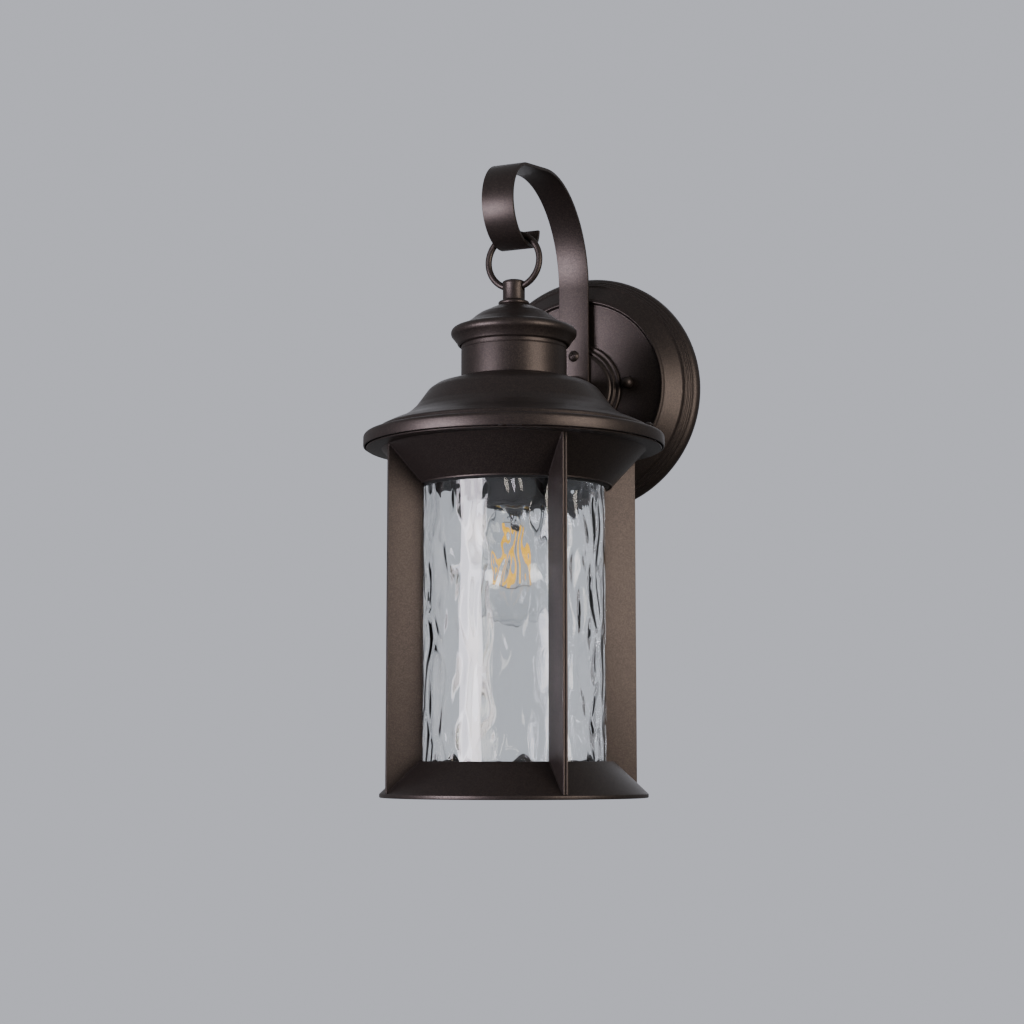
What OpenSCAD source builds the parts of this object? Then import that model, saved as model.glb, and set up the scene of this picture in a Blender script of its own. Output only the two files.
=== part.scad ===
// Outdoor wall lantern: round backplate, strap arm with a curled hook and a
// ring, spun roof, cage of four fins, water-glass cylinder and screw-in lamp.
// Millimetres. The origin is the centre of the backplate on the wall plane,
// +Z is up and -Y points away from the wall, towards the viewer.

/* [Overall] */
// Distance from the wall to the lantern's vertical axis
reach = 130.2; // [128:0.2:170]
// Height of the cage from the brim flange to the foot of the bottom ring
cage_h = 218.2; // [170:0.2:270]
// Radius of the cage across the outer edges of the fins
cage_r = 83.6; // [78:0.1:92]
// Radius of the roof's brim
roof_r = 95.4; // [94.5:0.1:115]
// Thickness of the spun sheet of the roof, cap, neck and cage
sheet = 1.2; // [0.8:0.1:1.6]

/* [Backplate] */
// Radius of the backplate at the wall
plate_r = 81.5; // [78:0.5:98]
// Depth from the wall to the backplate's flat face
plate_d = 22.5; // [20:0.5:28]
// Radius of the boss under the strap
boss_r = 32; // [30:0.5:38]
// Height of the boss above the flat face
boss_h = 4; // [3:0.5:6]
// Distance of each fixing stud from the backplate's centre
stud_x = 37.6; // [37:0.1:44]
// Tilt of the pair of studs on the swivel bar, in degrees
stud_tilt = 4; // [0:0.5:6]
// Radius of a fixing stud's thread
stud_r = 2; // [1.7:0.1:2.3]
// Radius of a ball nut
ball_r = 4.1; // [3.6:0.1:4.6]
// Spacing of the screws that hold the bar to the wall box
box_pitch = 88.9; // [80:0.1:95]
// Length of the slot for each wall box screw
box_slot = 14; // [8:1:18]
// Radius of the wall box screw slots
box_hole_r = 2.4; // [2:0.1:3]
// Thickness of the mounting bars
bar_t = 1.6; // [1.2:0.1:2]
// Width of the mounting bars
bar_w = 17; // [15:0.5:22]

/* [Strap arm] */
// Width of the strap
strap_w = 21.5; // [17:0.5:26]
// Thickness of the strap
strap_t = 2.2; // [1.8:0.1:3]
// Length of strap below the arm's centre
strap_foot = 29; // [28:0.5:36]
// Height of the centre of the large arch above the arm
arch_z = 69.6; // [60:0.2:80]
// Outer radius of the large arch
arch_r = 65.5; // [55:0.5:72]
// Outer radius of the front curl
curl_r = 27.5; // [25:0.1:32]
// Outer radius of the tight end of the curl
tip_r = 14.5; // [12:0.5:17]
// Turn of the front curl past its lowest point, in degrees
curl_past = 10; // [0:1:20]
// Height of each strap screw above and below the arm's centre
strap_screw_z = 23; // [17:0.5:24.5]
// Radius of each strap screw's head
strap_head_r = 3.9; // [3:0.1:4.2]
// Height of each strap screw's head
strap_head_h = 2.6; // [1.8:0.1:3]

/* [Arm tube] */
// Outer radius of the arm tube
arm_r = 6.35; // [5.8:0.05:7.5]
// Radius of the threaded ends of the arm tube and of the centre pipe
thread_r = 4.8; // [4.3:0.05:5.2]
// Radius of the wire way through the arm tube and the centre pipe
wire_way_r = 3.3; // [3:0.1:3.5]
// Radius of the arm tube's shoulder rings
collar_r = 9; // [8:0.5:11]

/* [Neck, cap and finial] */
// Radius of the neck
neck_r = 33.6; // [31:0.1:38]
// Height of the roof's flat top below the arm's centre
roof_drop = 10; // [9.5:0.5:14]
// Height of the cap's curled lower edge above the arm's centre
cap_z = 10.9; // [10:0.1:18]
// Height of the cap
cap_h = 26.7; // [24:0.1:32]
// How far the cap's rim stands out from the neck
cap_rim = 6.6; // [5:0.1:10]
// Radius of the finial's post
post_r = 7.1; // [6:0.1:8]
// Height of the finial's post above its foot
post_h = 12.2; // [11:0.1:16]
// Radius of the finial's foot
foot_r = 10; // [8.8:0.1:12]
// Height of the finial's foot
foot_h = 4.2; // [3.4:0.1:5]

/* [Ring] */
// Radius of the hanging ring at the middle of its wire
ring_r = 17.7; // [16.5:0.1:21]
// Radius of the ring's wire
ring_wire = 2.1; // [1.6:0.1:2.4]
// Play of the ring's wire in the finial's cross hole
ring_play = 0.2; // [0.15:0.05:0.4]
// Free height between the strap's edges and the ring
hook_gap = 0.8; // [0.6:0.1:1.5]

/* [Roof] */
// Height of the roof from its flat top to the lower edge of the brim
roof_h = 44.5; // [40:0.5:54]
// Height of the brim's upright band
band_h = 7.5; // [5:0.5:9]
// Height of the step on top of the brim
step_h = 3; // [2:0.5:4]
// Width of the brim outside the step
step_w = 9; // [8:0.5:9.5]
// Radius of each roof screw's thread
roof_screw_r = 1.95; // [1.5:0.05:2.2]

/* [Cage] */
// Radius of the mouths of the hopper and the bottom ring
mouth_r = 62.4; // [62:0.1:68]
// Height of the hopper's slope
hopper_h = 23.3; // [20:0.1:30]
// Height of the bottom ring's slope
skirt_h = 20; // [16:0.1:26]
// Height of the bottom ring's upright foot
foot_band = 2.4; // [2:0.1:4]
// Thickness of a folded fin
fin_t = 3.1; // [2.6:0.1:4]
// Width of the slot between a fin's two leaves
fin_slot = 0.5; // [0.3:0.1:0.8]
// Radius of the fins' inner edges
fin_in = 60.5; // [60.2:0.1:61.5]

/* [Glass] */
// Outer radius of the glass
glass_r = 58.1; // [48:0.1:58.4]
// Thickness of the glass
glass_t = 3; // [2.5:0.1:4]
// How far the glass reaches into the bottom ring
glass_in = 10; // [8:0.5:13]
// How far the top gasket shows under the hopper
gasket_show = 1.8; // [1:0.1:3]

/* [Lamp and socket] */
// Radius of the socket
socket_r = 19; // [17:0.5:22]
// Thickness of the socket's top
socket_roof = 4.5; // [4:0.5:8]
// Distance from the hopper's mouth down to the socket's lower edge
socket_drop = 13.4; // [8:0.2:20]
// Radius of the lamp's screw shell
lamp_shell_r = 13; // [12.5:0.1:13.2]
// Length of the lamp's screw shell
lamp_shell_h = 23; // [20:0.5:25]
// Radius of the lamp's bulb
bulb_r = 30; // [26:0.5:32]
// Height of the lamp's bulb below its screw shell
bulb_h = 78; // [70:1:90]
// Length of each filament
filament_h = 38; // [30:1:42]
// Radius of a lead
lead_r = 1.2; // [1:0.1:1.4]

/* [Hidden] */
$fn = 72;
fine = 24;                       // facet count of small round pieces
fit = 0.05;                      // radial clearance in a hole
slip = 0.4;                      // gap between bodies that move apart
head_r = 3.2;                    // radius of a small screw head
head_h = 2;
bead = 1.6;                      // height of the beads on plate and boss

// depths from the wall
boss_d = plate_d + boss_h;
strap_d = boss_d + strap_t;
neck_d = reach - neck_r;
plate_lip = 0.5;                 // gap between the plate's rim and the wall
gasket_t = 3;
gasket_w = 4;
stiff_t = 2;
ball_d = plate_d + 3.2;
nut_t = 3.5;
nut_af = 14;                     // width of a pipe nut across its flats
saddle_t = 2;

// heights
roof_z = -roof_drop;
brim_z = roof_z - roof_h;
lip_drop = 1.1;                  // how far the cage flange shows under the brim
flange_z = brim_z - lip_drop;
flange_r = roof_r - sheet - 0.6;
mouth_z = flange_z - hopper_h;
foot_z = flange_z - cage_h;
skirt_z = foot_z + foot_band + skirt_h;
cap_top = cap_z + cap_h;
post_foot = cap_top + foot_h;
post_top = post_foot + post_h;
ring_sag = ring_r - sqrt(pow(ring_r, 2) - pow(post_r, 2));   // over the post's radius
ring_hole = ring_wire + ring_sag / 2 + ring_play;
hole_z = post_top - 1.1 - ring_hole;
ring_z = hole_z + ring_r - ring_sag / 2;
cap_r = neck_r + cap_rim;
ring_in = ring_r - ring_wire;
curl_z = ring_z + sqrt(pow(ring_in, 2) - pow(strap_w / 2, 2)) - hook_gap
         - strap_t + curl_r;
curl_d = reach - 0.9;            // depth of the curl's centre
arch_d = boss_d + arch_r;        // depth of the arch's centre

// glass seat
seat_r = mouth_r - sheet - 0.1;
seat_z = skirt_z - glass_in - 1;
glass_z = skirt_z - glass_in;
rubber = 1;
gasket_z = mouth_z - gasket_show;
glass_top = mouth_z + 3;

// socket and lamp
socket_z = mouth_z - socket_drop;
shell_r = lamp_shell_r + slip;
shell_t = 0.8;
lamp_z = socket_z + 3;           // lower end of the lamp's screw shell
lamp_top = lamp_z + lamp_shell_h;
tip_z = lamp_top + 3.7;
contact_t = 1.4;
cavity_z = tip_z + slip + contact_t;      // ceiling of the socket's inside
socket_top = cavity_z + socket_roof;
lead_x = 10;                     // distance of the leads from the centre pipe
pipe_bot = cavity_z + 1;
pipe_top = cap_top + 6.2;
clamp_z = roof_z - sheet;

bronze = "#3b322d";
steel = "#a8abad";
brass = "#c8a850";
rubber_black = "#1c1c1c";

// ---------- helpers ----------

// turns a shape built up along +Z so that it grows out of the wall
module from_wall(d = 0) { translate([0, -d, 0]) rotate([90, 0, 0]) children(); }

// moves a shape to the lantern's vertical axis
module on_axis(z = 0) { translate([0, -reach, z]) children(); }

// a solid or hollow round bar between two heights
module round_bar(r, z0, z1, bore = 0) {
  translate([0, 0, z0]) difference() {
    cylinder(r = r, h = z1 - z0);
    if (bore > 0) translate([0, 0, -1]) cylinder(r = bore, h = z1 - z0 + 2);
  }
}

module hex_nut(af, h, bore) {
  difference() {
    cylinder(r = af / sqrt(3), h = h, $fn = 6);
    translate([0, 0, -1]) cylinder(r = bore, h = h + 2);
  }
}

// unit normal on the left of the step from a to b
function side(a, b) = let (d = b - a) [-d[1], d[0]] / norm(d);
// point i of a line moved sideways by t, mitred at the corners
function moved(p, i, t) =
  let (n = len(p),
       a = i > 0 ? side(p[i - 1], p[i]) : side(p[0], p[1]),
       b = i < n - 1 ? side(p[i], p[i + 1]) : a)
  p[i] + (a + b) * t / (1 + a * b);
// closed outline of a sheet of thickness t on the left of the line p
function sheet_of(p, t) =
  concat(p, [for (i = [len(p) - 1:-1:0]) moved(p, i, t)]);
// arc about c from angle a to angle b in n steps
function arc(c, r, a, b, n) =
  [for (i = [0:n]) c + r * [cos(a + (b - a) * i / n), sin(a + (b - a) * i / n)]];

module spun(p) { rotate_extrude() polygon(p); }

// a straight round rod from a to b
module rod(a, b, r) {
  d = b - a;
  translate(a) rotate([0, acos(d[2] / norm(d)), atan2(d[1], d[0])])
    cylinder(r = r, h = norm(d), $fn = fine);
}

// points p with each corner cut off at a quarter of its two sides
function cut_corners(p) = concat([p[0]],
  [for (i = [0:len(p) - 2]) each [0.75 * p[i] + 0.25 * p[i + 1],
                                  0.25 * p[i] + 0.75 * p[i + 1]]],
  [p[len(p) - 1]]);
function unit(v) = v / norm(v);
// direction of the line p at point i
function heading(p, i) =
  unit(p[min(i + 1, len(p) - 1)] - p[max(i - 1, 0)]);

// a lead of radius r whose bends are rounded, through the points route
lead_sides = 10;
module lead_tube(route, r) {
  p = cut_corners(cut_corners(route));
  n = lead_sides;
  m = len(p);
  across = [1, 0.2, 0.1];        // never parallel to a lead
  rings = [for (i = [0:m - 1])
    let (t = heading(p, i), u = unit(cross(t, across)), v = cross(t, u))
      for (k = [0:n - 1]) p[i] + r * (u * cos(360 * k / n) + v * sin(360 * k / n))];
  walls = [for (i = [0:m - 2]) for (k = [0:n - 1])
    [i * n + k, (i + 1) * n + k, (i + 1) * n + (k + 1) % n, i * n + (k + 1) % n]];
  ends = [[for (k = [0:n - 1]) k], [for (k = [n - 1:-1:0]) (m - 1) * n + k]];
  polyhedron(rings, concat(walls, ends));
}

// screw with a domed head on top of z = 0 and a shank below it
module screw(r, head, head_h, length) {
  dome = (head * head + head_h * head_h) / (2 * head_h);
  union() {
    intersection() {
      translate([0, 0, head_h - dome]) sphere(r = dome, $fn = 48);
      cylinder(r = head, h = head_h);
    }
    translate([0, 0, -length]) cylinder(r = r, h = length + 0.1);
  }
}

// cross recess of a screw head at z = 0
module cross_cut(w, depth) {
  for (a = [0, 90]) rotate(a)
    translate([-w, -w / 6, -depth]) cube([2 * w, w / 3, depth + 1]);
}

// ---------- wall parts ----------

module wall_gasket() {
  color(rubber_black) from_wall()
    round_bar(plate_r - sheet - 0.1, 0, gasket_t, plate_r - sheet - gasket_w);
}

bar_len = box_pitch + box_slot + 8;
module bar(length) {
  translate([-length / 2, -bar_w / 2, 0]) cube([length, bar_w, bar_t]);
}

module box_bar() {
  color(steel) from_wall() difference() {
    rotate(90) bar(bar_len);
    for (s = [-1, 1]) translate([0, s * box_pitch / 2, -1]) {
      travel = box_slot / 2 - box_hole_r;
      for (t = [-travel, travel]) translate([0, t, 0])
        cylinder(r = box_hole_r, h = bar_t + 2);
      translate([-box_hole_r, -travel, 0])
        cube([2 * box_hole_r, 2 * travel, bar_t + 2]);
    }
    translate([0, 0, -1]) cylinder(r = stud_r + fit, h = bar_t + 2);
  }
}

module on_studs() {
  rotate([0, -stud_tilt, 0]) for (s = [-1, 1]) translate([s * stud_x, 0, 0])
    children();
}

module stud_bar() {
  color(steel) difference() {
    rotate([0, -stud_tilt, 0]) from_wall(bar_t) bar(2 * stud_x + 14);
    on_studs() from_wall() cylinder(r = stud_r + fit, h = 3 * bar_t);
    from_wall() cylinder(r = stud_r + fit, h = 3 * bar_t);
  }
}

module ground_screw() {
  color("#3f8f4f") from_wall(2 * bar_t) rotate(30) difference() {
    union() {
      cylinder(r = 4.6, h = 2.6, $fn = 6);
      translate([0, 0, 0.1 - 2 * bar_t]) cylinder(r = stud_r, h = 2 * bar_t);
    }
    translate([-6, -0.6, 1.6]) cube([12, 1.2, 2]);
  }
}

module mounting_studs() {
  color(steel) on_studs() from_wall()
    round_bar(stud_r, bar_t + 0.1, ball_d + 1.3);
}

module stud_nuts() {
  color(steel) on_studs() from_wall(2 * bar_t) hex_nut(7, 2.4, stud_r + fit);
}

// outer face of the backplate from the rim to the centre: [radius, depth]
plate_slope_d = plate_d + 2;
plate_line = concat(
  [[plate_r, plate_lip]],
  arc([plate_r - 6.5, 2.2], 6.5, 0, 55, 5),
  [[plate_r - 3.9, 8.6]],
  arc([plate_r - 5.4, 10.4], bead, 0, 80, 4),
  [[plate_r - 6.4, 12.6]],
  [[plate_r - 7, 13.9], [plate_r - 8.1, 14.4]],
  [[plate_r - 18.8, plate_slope_d - 0.4], [plate_r - 19.8, plate_slope_d],
   [plate_r - 20.8, plate_slope_d - 0.5], [plate_r - 21.2, plate_d],
   [thread_r + fit, plate_d]]);

module backplate() {
  color(bronze) difference() {
    from_wall() spun(sheet_of(plate_line, sheet));
    on_studs() from_wall() cylinder(r = stud_r + 0.3, h = plate_d + 2);
    for (s = [-1, 1]) translate([0, 0, s * strap_screw_z])
      from_wall() cylinder(r = stud_r + fit, h = plate_d + 2, $fn = fine);
  }
}

module ball_nuts() {
  color(bronze) on_studs() difference() {
    union() {
      from_wall(ball_d) sphere(r = ball_r, $fn = 48);
      from_wall(plate_d) cylinder(r = ball_r * 0.85, h = 1.2);
    }
    from_wall() cylinder(r = stud_r + fit, h = ball_d + 1.4);
    from_wall(plate_d - 10) cylinder(r = 2 * ball_r, h = 10);
  }
}

module stiffener() {
  h = 2 * strap_screw_z + 16;
  color(steel) difference() {
    translate([-bar_w / 2, sheet - plate_d, -h / 2])
      cube([bar_w, stiff_t, h]);
    for (s = [-1, 1]) translate([0, 0, s * strap_screw_z])
      from_wall() cylinder(r = stud_r + fit, h = plate_d, $fn = fine);
    from_wall() cylinder(r = thread_r + fit, h = plate_d);
  }
}

// spun face of the boss: [radius, depth]
boss_line = concat(
  [[thread_r + fit, plate_d], [boss_r, plate_d]],
  arc([boss_r - 1.2, plate_d + 0.6], 1.2, 0, 80, 3),
  [[boss_r - 2.6, plate_d + boss_h * 0.45]],
  arc([boss_r - 3.8, plate_d + boss_h * 0.5], 1.1, 30, 150, 4),
  [[boss_r - 5.4, plate_d + boss_h * 0.5]],
  arc([boss_r - 6.6, boss_d - 1.1], 1.1, 0, 90, 3),
  [[thread_r + fit, boss_d]]);

module boss() {
  color(bronze) difference() {
    from_wall() spun(boss_line);
    for (s = [-1, 1]) translate([0, 0, s * strap_screw_z])
      from_wall() cylinder(r = stud_r + fit, h = boss_d + 2, $fn = fine);
  }
}

// ---------- strap arm ----------

// angle past the top at which the straight run between the arcs starts
hop = [curl_d - arch_d, curl_z - arch_z];
run_a = atan2(hop[0], hop[1]) - acos((arch_r - curl_r) / norm(hop));
// one face of the strap, k inside the outer face: [depth, height]
function strap_face(k) = concat(
  [[boss_d + k, -strap_foot]],
  arc([arch_d, arch_z], arch_r - k, 180, 90 - run_a, 24),
  arc([curl_d, curl_z], curl_r - k, 90 - run_a, -90 - curl_past, 30),
  arc([curl_d, curl_z] - (curl_r - tip_r) * [sin(curl_past), cos(curl_past)],
      tip_r - k, -90 - curl_past, -180, 10));
function backwards(p) = [for (i = [len(p) - 1:-1:0]) p[i]];

module hook_strap() {
  color(bronze) difference() {
    mirror([0, 1, 0]) rotate([90, 0, 90])
      linear_extrude(strap_w, center = true)
        polygon(concat(strap_face(0), backwards(strap_face(strap_t))));
    for (s = [-1, 1]) translate([0, 0, s * strap_screw_z])
      from_wall(boss_d - 1) cylinder(r = stud_r + fit, h = strap_t + 2, $fn = fine);
    from_wall(boss_d - 1) cylinder(r = thread_r + fit, h = strap_t + 2);
  }
}

module strap_screws() {
  length = strap_d - plate_d + sheet + stiff_t + 0.6;
  color(bronze) for (s = [-1, 1]) translate([0, 0, s * strap_screw_z])
    from_wall(strap_d) difference() {
      screw(stud_r, strap_head_r, strap_head_h, length);
      translate([0, 0, strap_head_h]) cross_cut(strap_head_r * 0.5, 1.4);
    }
}

// ---------- arm ----------

tube_end = neck_d - saddle_t;
inner_flat = neck_d + sheet + 2.2;   // depth of the inner saddle's flat face
module arm_tube() {
  color(bronze) from_wall() difference() {
    union() {
      round_bar(arm_r, strap_d, tube_end);
      round_bar(collar_r, strap_d, strap_d + 3);
      round_bar(collar_r - 1, tube_end - 2.5, tube_end);
      round_bar(thread_r, plate_d - sheet - stiff_t - nut_t - 1.5, strap_d + 1);
      round_bar(thread_r, tube_end - 1, inner_flat + nut_t + 1.5);
    }
    cylinder(r = wire_way_r, h = reach);
  }
}

module arm_saddles() {
  color(bronze) {
    difference() {
      from_wall() round_bar(collar_r, tube_end, neck_d + 3, thread_r + fit);
      on_axis() cylinder(r = neck_r, h = 4 * collar_r, center = true);
    }
    intersection() {
      from_wall() round_bar(collar_r, neck_d + 0.5, inner_flat, thread_r + fit);
      on_axis() cylinder(r = neck_r - sheet, h = 4 * collar_r, center = true);
    }
  }
}

module arm_nuts() {
  color(steel) {
    from_wall(inner_flat) hex_nut(nut_af, nut_t, thread_r + fit);
    from_wall(plate_d - sheet - stiff_t - nut_t)
      hex_nut(nut_af, nut_t, thread_r + fit);
  }
}

// ---------- neck, cap and finial ----------

// underside of the cap at the neck, from the slope of the cap's skirt
neck_top = cap_z + 13.2 - 1.35 * sheet;
module neck() {
  color(bronze) difference() {
    on_axis() round_bar(neck_r, roof_z, neck_top, neck_r - sheet);
    from_wall(neck_d - 3) cylinder(r = thread_r + fit, h = 12);
  }
}

// upper face of the cap from its centre hole to its curled edge
cap_line = concat(
  [[thread_r + fit, cap_top], [foot_r + 0.3, cap_top],
   [14, cap_top - 1.7], [19, cap_top - 4.1], [21.8, cap_top - 5.4],
   [25, cap_top - 7.7], [28, cap_top - 10.3], [neck_r - 0.6, cap_z + 13.3]],
  [[neck_r + 2.6, cap_z + 12.3]],
  arc([cap_r - 3.6, cap_z + 8.4], 3.6, 62, -50, 8),
  [[neck_r + 2.4, cap_z + 1.2], [neck_r + 0.9, cap_z]]);

module cap() { color(bronze) on_axis() spun(sheet_of(cap_line, -sheet)); }

finial_line = concat(
  [[0, cap_top], [foot_r - 0.5, cap_top]],
  arc([foot_r - 1.1, cap_top + foot_h * 0.4], 1.1, -60, 60, 5),
  arc([post_r + 1.3, post_foot + 0.3], 1.3, 250, 180, 4),
  arc([post_r - 1.2, post_top - 1.5], 1.2, 0, 70, 4),
  [[0, post_top]]);

module finial() {
  color(bronze) on_axis() difference() {
    spun(finial_line);
    translate([0, 0, cap_top - 1])
      cylinder(r = thread_r + fit, h = pipe_top - cap_top + 1.3);
    translate([-2 * post_r, 0, hole_z]) rotate([0, 90, 0])
      cylinder(r = ring_hole, h = 4 * post_r, $fn = 48);
  }
}

module ring() {
  color(bronze) on_axis(ring_z) rotate([90, 0, 0]) rotate_extrude()
    translate([ring_r, 0]) circle(r = ring_wire, $fn = 32);
}

module centre_pipe() {
  color(steel) on_axis()
    round_bar(thread_r, pipe_bot, pipe_top, wire_way_r);
}

clamp_len = 2 * (neck_r - 3);
module clamp_bar() {
  color(steel) on_axis() difference() {
    translate([-clamp_len / 2, -8, clamp_z - 2]) cube([clamp_len, 16, 2]);
    translate([0, 0, clamp_z - 3]) cylinder(r = thread_r + fit, h = 4);
  }
}

module pipe_nuts() {
  color(steel) on_axis() {
    translate([0, 0, clamp_z - 2 - nut_t]) hex_nut(nut_af, nut_t, thread_r + fit);
    translate([0, 0, socket_top]) hex_nut(nut_af, nut_t, thread_r + fit);
  }
}

// ---------- roof ----------

step_r = roof_r - step_w;
roof_top_r = neck_r + 10;
bell_h = roof_h - band_h - 1.5 - step_h;     // flat top down to the step
// upper face of the roof from its centre opening to the brim's lower edge
roof_line = concat(
  [[neck_r - 9, roof_z], [neck_r + 4, roof_z]],
  [[roof_top_r, roof_z - bell_h * 0.07], [neck_r + 16, roof_z - bell_h * 0.14]],
  arc([neck_r + 16, roof_z - bell_h * 0.14 - 6.5], 6.5, 78, 35, 4),
  [[neck_r + 24.4, roof_z - bell_h * 0.4], [neck_r + 28.6, roof_z - bell_h * 0.58],
   [neck_r + 33, roof_z - bell_h * 0.71], [neck_r + 38.6, roof_z - bell_h * 0.82],
   [neck_r + 46, roof_z - bell_h * 0.91],
   [step_r - 0.8, roof_z - bell_h], [step_r - 0.1, roof_z - bell_h - 0.6],
   [step_r + 0.3, roof_z - bell_h - step_h]],
  arc([roof_r - 2.6, brim_z + band_h - 1.8], 2.6, 82, 0, 6),
  [[roof_r, brim_z]]);

// distance of each roof screw from the axis, and height of the brim under it
roof_screw_x = step_r + 4.3;
roof_screw_z = roof_z - bell_h - step_h;
module on_roof_screws() {
  for (s = [-1, 1]) on_axis() translate([s * roof_screw_x, 0, 0]) children();
}

module roof() {
  color(bronze) difference() {
    on_axis() spun(sheet_of(roof_line, -sheet));
    on_roof_screws() translate([0, 0, roof_screw_z - 5])
      cylinder(r = roof_screw_r + 0.2, h = 9, $fn = fine);
  }
}

module roof_screws() {
  color(bronze) on_roof_screws() translate([0, 0, roof_screw_z])
    difference() {
      screw(roof_screw_r, head_r, head_h, roof_screw_z - flange_z - 0.1);
      translate([0, 0, head_h]) cross_cut(1.7, 1.1);
    }
}

// ---------- cage ----------

// lower face of the hopper from the flange's edge to its mouth
hopper_line = [[flange_r, flange_z], [cage_r + 0.1, flange_z],
               [mouth_r, mouth_z], [mouth_r, mouth_z - 0.9]];
module hopper() {
  color(bronze) difference() {
    on_axis() spun(sheet_of(hopper_line, -sheet));
    on_roof_screws() translate([0, 0, flange_z - 3])
      cylinder(r = roof_screw_r + fit, h = 7, $fn = fine);
  }
}

// space between hopper and bottom ring that a fin fills: [radius, height]
fin_space = [[fin_in, mouth_z - 0.9], [mouth_r, mouth_z - 0.9],
             [mouth_r, mouth_z], [cage_r, flange_z - 0.1],
             [cage_r, foot_z + foot_band + 0.2], [mouth_r, skirt_z],
             [fin_in, skirt_z]];
module fin(a) {
  h = cage_h;
  color(bronze) on_axis() difference() {
    intersection() {
      spun(fin_space);
      rotate(a) translate([0, -fin_t / 2, foot_z]) cube([2 * cage_r, fin_t, h]);
    }
    rotate(a) translate([cage_r - 6, -fin_slot / 2, foot_z])
      cube([cage_r, fin_slot, h]);
  }
}
module fin_front_left() { fin(-135); }
module fin_front_right() { fin(-45); }
module fin_back_left() { fin(135); }
module fin_back_right() { fin(45); }

module bottom_ring() {
  color(bronze) on_axis() spun([
    [seat_r + 0.1, skirt_z], [mouth_r, skirt_z],
    [cage_r - 0.6, foot_z + foot_band + 0.6],
    [cage_r + 0.1, foot_z + foot_band - 0.1], [cage_r + 0.1, foot_z],
    [cage_r + 0.1 - sheet, foot_z],
    [cage_r + 0.1 - sheet, foot_z + foot_band - 0.5],
    [seat_r + 0.1, skirt_z - 1.6 * sheet]]);
}

module glass_seat() {
  color(bronze) on_axis() spun([
    [seat_r + 0.1, skirt_z], [seat_r + 0.1, seat_z - sheet],
    [glass_r - glass_t - 1.2, seat_z - sheet], [glass_r - glass_t - 1.2, seat_z],
    [seat_r + 0.1 - sheet, seat_z], [seat_r + 0.1 - sheet, skirt_z]]);
}

module glass() {
  color("#dfe7ea", 0.35) on_axis()
    round_bar(glass_r, glass_z, glass_top, glass_r - glass_t);
}

module top_gasket() {
  out = mouth_r - sheet - 0.1;
  color(rubber_black) on_axis() spun([
    [glass_r, gasket_z], [glass_r + 0.9, gasket_z], [out, gasket_z + 1.6],
    [out, glass_top + rubber], [glass_r - glass_t, glass_top + rubber],
    [glass_r - glass_t, glass_top], [glass_r, glass_top]]);
}

module bottom_gasket() {
  out = seat_r + 0.1 - sheet;
  color(rubber_black) on_axis() spun([
    [glass_r - glass_t, seat_z], [out, seat_z], [out, glass_z + 5],
    [glass_r, glass_z + 5], [glass_r, glass_z], [glass_r - glass_t, glass_z]]);
}

// ---------- socket ----------

module socket_body() {
  color("#26221f") on_axis() difference() {
    spun([[0, cavity_z], [shell_r + shell_t, cavity_z],
          [shell_r + shell_t, socket_z], [socket_r - 1, socket_z],
          [socket_r, socket_z + 1], [socket_r, socket_top - 7],
          [socket_r - 2, socket_top - 5], [12, socket_top], [0, socket_top]]);
    translate([0, 0, pipe_bot]) cylinder(r = thread_r + fit, h = 20);
    for (s = [-1, 1]) translate([s * lead_x, 0, cavity_z - 1])
      cylinder(r = lead_r + fit, h = 20, $fn = fine);
  }
}

module socket_shell() {
  color(brass) on_axis()
    round_bar(shell_r + shell_t, socket_z + 1.5, lamp_top + 0.5, shell_r);
}

module socket_contact() {
  color(brass) on_axis() translate([-5, -3, tip_z + slip])
    cube([10, 6, contact_t]);
}

// ---------- leads, all inside the housings ----------

lead_bend = neck_d + 20;         // depth where the leads turn into the arm
lead_gap = lead_r + 0.15;        // half the distance between two leads
joint_x = 24;                    // places where the leads are joined
joint_d = 11;
ground_z = -33;
// a lead from the socket's top through the neck and the arm to the wall plate
module lead(s) {
  lead_tube([[s * lead_x, -reach, cavity_z + 0.1], [s * lead_x, -reach, roof_z - 26],
             [s * 12, -reach + 9, roof_z - 14], [s * 12, -reach + 13, roof_z + 2],
             [s * lead_gap, -lead_bend, 0], [s * lead_gap, -neck_d, 0],
             [s * lead_gap, -20, 0], [s * lead_gap, -joint_d, -1],
             [s * joint_x, -joint_d, -joint_x]], lead_r);
}
module lead_hot() { color("#202020") lead(1); }
module lead_neutral() { color("#e8e6e0") lead(-1); }
module ground_lead() {
  color("#3f8f4f") lead_tube([[0, -2 * bar_t - 1.4, -6],
    [0, -joint_d, -14], [0, -joint_d, ground_z]], lead_r);
}

module wire_connectors() {
  module connector() {
    difference() {
      spun([[0, 0], [6, 0], [6, 4], [5, 12], [3, 18], [0, 18]]);
      translate([0, 0, -1]) cylinder(r = lead_r + fit, h = 9, $fn = fine);
    }
  }
  color("#d07030") {
    translate([joint_x, -joint_d, -joint_x]) rotate([0, 135, 0]) connector();
    translate([-joint_x, -joint_d, -joint_x]) rotate([0, -135, 0]) connector();
    translate([0, -joint_d, ground_z]) rotate([180, 0, 0]) connector();
  }
}

// ---------- lamp ----------

module bulb_base() {
  color(brass) on_axis()
    round_bar(lamp_shell_r, lamp_z, lamp_top, lamp_shell_r - 0.6);
}
module bulb_insulator() {
  color("#1a1a22") on_axis() spun([
    [0, lamp_top], [lamp_shell_r, lamp_top], [lamp_shell_r - 1.5, lamp_top + 0.8],
    [5.5, tip_z - 1], [0, tip_z - 1]]);
}
module bulb_contact() {
  color(steel) on_axis() spun([
    [0, tip_z - 1], [4.6, tip_z - 1], [4, tip_z - 0.2], [2, tip_z], [0, tip_z]]);
}

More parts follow.
